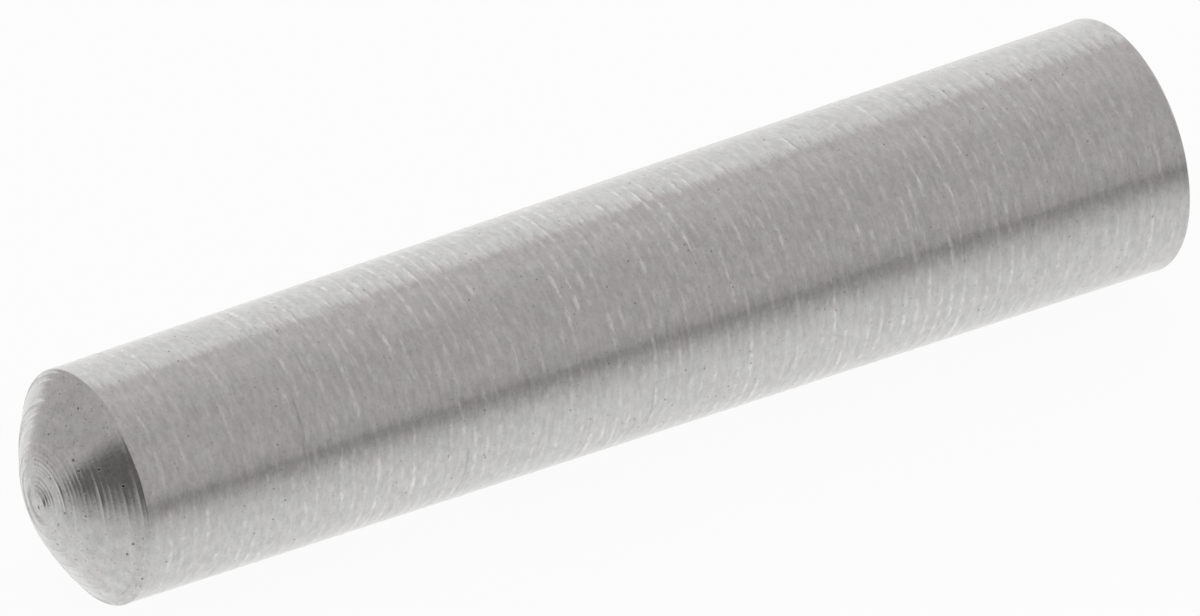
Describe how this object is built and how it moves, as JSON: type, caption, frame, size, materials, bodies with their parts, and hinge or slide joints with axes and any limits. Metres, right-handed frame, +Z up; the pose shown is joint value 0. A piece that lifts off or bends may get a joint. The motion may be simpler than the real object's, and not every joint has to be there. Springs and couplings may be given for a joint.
{
  "type": "taper pin",
  "caption": "Plain turned steel taper pin with a bluntly crowned small end and a shallow domed head, driven into a tapered hole to lock a hub or collar to its shaft.",
  "frame": {"origin": "centre of the circle where the tapered seat meets the small end's point", "axes": "+X along the pin's axis, from the small end to the large end; +Z up as the pin lies"},
  "size_m": [0.0214, 0.0044, 0.0044],
  "materials": {
    "steel": "bright turned steel with fine ring-like tool marks"
  },
  "bodies": {
    "root": {"taper_pin": "steel"}
  },
  "joints": []
}
